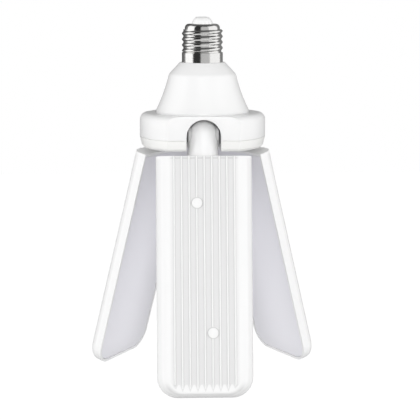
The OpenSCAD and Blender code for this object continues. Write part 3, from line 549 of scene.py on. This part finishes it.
# ---- Inside: driver, leads, boards and fasteners ----
# The driver in the bell, the LED boards in the leaves, and the leads, pins, washers and screws.
# These parts keep their solids, and each gets its own finish by its slot; the washers are of spring steel.


def coloured(name, low, high, roughness, scale, detail=3.0, dulling=0.1, **plain):
    """A plain part's finish: patches from one colour to another, duller where they are paler."""
    finish = Finish(name, **plain)
    patch = finish.noise(scale, detail)
    finish.set("Base Color", finish.between(low, high, patch))
    finish.set("Roughness", roughness + dulling * patch)
    finish.bump(patch, microns=10)
    return finish


steel = coloured("zinc_steel", (0.55, 0.56, 0.58), (0.70, 0.71, 0.73), 0.28, 700, dulling=0.15, Metallic=1.0)
spring = coloured("spring_steel", (0.42, 0.425, 0.44), (0.56, 0.565, 0.58), 0.5, 260, 4.0, 0.18, Metallic=1.0)
inner = {
    "contact_metal": solder,
    "steel": steel,
    "insulator": ceramic,
    "nickel_shell": nickel,
    "white_gloss": gloss_white,
    "board_green": coloured("solder_mask_green", (0.02, 0.13, 0.05), (0.03, 0.20, 0.08), 0.3, 300),
    "capacitor_sleeve": coloured("sleeve_black", (0.02, 0.02, 0.03), (0.04, 0.04, 0.05), 0.35, 200),
    "ferrite_tape": coloured("winding_tape", (0.45, 0.30, 0.05), (0.60, 0.42, 0.09), 0.45, 400),
    "black_moulding": coloured("epoxy_black", (0.02, 0.02, 0.02), (0.05, 0.05, 0.05), 0.55, 900),
    "resistor_green": coloured("resistor_lacquer", (0.05, 0.20, 0.12), (0.09, 0.28, 0.17), 0.25, 500),
    "lead_red": coloured("lead_red_sleeve", (0.40, 0.03, 0.03), (0.52, 0.05, 0.04), 0.4, 600),
    "lead_white": coloured("lead_white_sleeve", (0.72, 0.72, 0.70), (0.82, 0.82, 0.80), 0.4, 600),
    "white_coat": coat_white,
    "board_white": coloured("board_white_mask", (0.78, 0.78, 0.76), (0.86, 0.86, 0.85), 0.35, 300),
    "led_yellow": coloured("phosphor_yellow", (0.80, 0.62, 0.12), (0.90, 0.74, 0.20), 0.3, 900),
    "diffuser_frost": opal,
}
slots = {row["node"]: row["material_slot"] for row in frame["record"]["subparts"]}
for node, solid in frame["nodes"].items():
    solid.data.materials.clear()
    solid.data.materials.append((spring if node.endswith("_washers") else inner[slots[node]]).material)

# ---- Studio ----
# A pale floor far below, a white surround that the camera, gloss and glass all see, and three soft lamps.
# Cards that only reflections see stand round the lamp and give the nickel its dark bands.
# Here sizes are in metres, and bearings in degrees from +X towards +Y, so the camera stands near -90.
WORLD_LEVEL, FLOOR_Z, FLOOR_GLOW = 0.62, -0.95, 0.6
LAMPS_AIM = Vector((0, 0, -0.10))


def straight_seen(finish):
    """1 where the eye, a reflection or glass shows this surface, 0 where it only sends light."""
    rays = (f"Is {ray} Ray" for ray in ("Camera", "Glossy", "Transmission"))
    eye, gloss, glass = (finish.node("LightPath", output=ray) for ray in rays)
    return eye.or_more(gloss.or_more(glass))


white_room = Finish("white_room", bpy.data.worlds.new("white_room"), "Background", Color=(1, 1, 1, 1))
white_room.set("Strength", WORLD_LEVEL + (1 - WORLD_LEVEL) * straight_seen(white_room))
bpy.context.scene.world = white_room.material


def soft_lamp(name, at, width, height, watts):
    lamp = bpy.data.lights.new(name, "AREA")
    lamp.shape, lamp.size, lamp.size_y, lamp.energy = "RECTANGLE", width, height, watts
    holder = bpy.data.objects.new(name, lamp)
    holder.location = at
    holder.rotation_euler = (LAMPS_AIM - Vector(at)).to_track_quat("-Z", "Y").to_euler()
    holder.visible_glossy = False
    bpy.context.scene.collection.objects.link(holder)


soft_lamp("lamp_left", (-1.0, -0.55, 0.0), 0.7, 1.2, 5.6)
soft_lamp("lamp_right", (1.0, -0.55, 0.0), 0.7, 1.2, 5.7)
soft_lamp("lamp_front", (-0.1, -1.6, 0.3), 0.8, 0.8, 5.7)


def stage_piece(name, bm, finish):
    mesh = bpy.data.meshes.new(name)
    bm.to_mesh(mesh)
    bm.free()
    mesh.materials.append(finish.material)
    placed = bpy.data.objects.new(name, mesh)
    bpy.context.scene.collection.objects.link(placed)
    return placed


def card(name, outline, start, end, glow):
    """A card bent round the axis from one bearing to another, which lights nothing and casts no shadow."""
    bm = bmesh.new()
    bearing = math.radians(start)
    post = [bm.verts.new((r * math.cos(bearing), r * math.sin(bearing), z)) for r, z in outline]
    seams = [bm.edges.new(pair) for pair in zip(post, post[1:])]
    bmesh.ops.spin(bm, geom=post + seams, cent=(0, 0, 0), axis=(0, 0, 1), angle=math.radians(end - start),
                   steps=32, use_merge=end - start == 360)
    paint = Finish(name, Base_Color=(0, 0, 0, 1), Emission_Color=(1, 1, 1, 1), Emission_Strength=glow)
    hung = stage_piece(name, bm, paint)
    hung.visible_camera = hung.visible_diffuse = hung.visible_shadow = False


CARD_FOOT, FRONT_HIGH, SIDE_HIGH, CARD_TOP = FLOOR_Z + 0.05, 1.9, 2.4, 5.0
AXIS_R, LOW_R, SIDE_R, CARD_R = 0.001, 0.6, 1.0, 2.4
under, outer = (LOW_R, CARD_FOOT), (CARD_R, CARD_FOOT)
tall_card = [under, outer, (CARD_R, CARD_TOP)]
card("card_front_left", tall_card, -146, -101, 0.018)
card("card_front", [under, outer, (CARD_R, FRONT_HIGH)], -101, -49, 0.52)
card("card_front_top", [(CARD_R, FRONT_HIGH), (CARD_R, CARD_TOP)], -101, -49, 0.14)
card("card_back_right", tall_card, 25, 90, 0.2)
card("card_back_left", tall_card, 90, 137, 0.08)
card("card_far_left", tall_card, 137, 158, 0.22)
card("card_left", [(SIDE_R, CARD_FOOT), outer, (CARD_R, SIDE_HIGH)], -202, -146, 1.12)
for side, start, end in (("left", -202, -146), ("right", -49, 25)):
    card(f"card_{side}_top", [(CARD_R, SIDE_HIGH), (CARD_R, CARD_TOP)], start, end, 0.09)
    card(f"card_{side}_low", [under, (SIDE_R, CARD_FOOT)], start, end, 0.09)
card("card_top", [(AXIS_R, CARD_TOP), (CARD_R, CARD_TOP)], 0, 360, 0.09)
card("card_low", [(AXIS_R, CARD_FOOT), under], 0, 360, 0.09)

pale = Finish("pale_floor", Base_Color=(0.7, 0.7, 0.7, 1), Roughness=0.9, Emission_Strength=1.0)
pale.set("Emission Color", pale.between((0, 0, 0), (FLOOR_GLOW,) * 3, straight_seen(pale)))
bm = bmesh.new()
bmesh.ops.create_grid(bm, x_segments=1, y_segments=1, size=6)
bmesh.ops.translate(bm, vec=(0, 0, FLOOR_Z), verts=bm.verts)
stage_piece("floor", bm, pale)

# ---- Camera ----
# Placed as the photograph was taken: a long lens, a little above the hub, looking slightly down.
# Its place, in metres, and its direction were fitted to the photograph's outline.
CAMERA_AT, CAMERA_LOOK = (-0.02271, -0.82108, 0.04776), (0.03309, 0.98442, -0.17269)
lens = bpy.data.cameras.new("camera")
lens.sensor_width, lens.lens = 36.0, 109.4
lens.clip_start, lens.clip_end = 0.05, 20
camera = bpy.data.objects.new("camera", lens)
bpy.context.scene.collection.objects.link(camera)
camera.location = CAMERA_AT
camera.rotation_euler = Vector(CAMERA_LOOK).to_track_quat("-Z", "Y").to_euler()
bpy.context.scene.camera = camera
bpy.context.scene.view_settings.view_transform = "Standard"
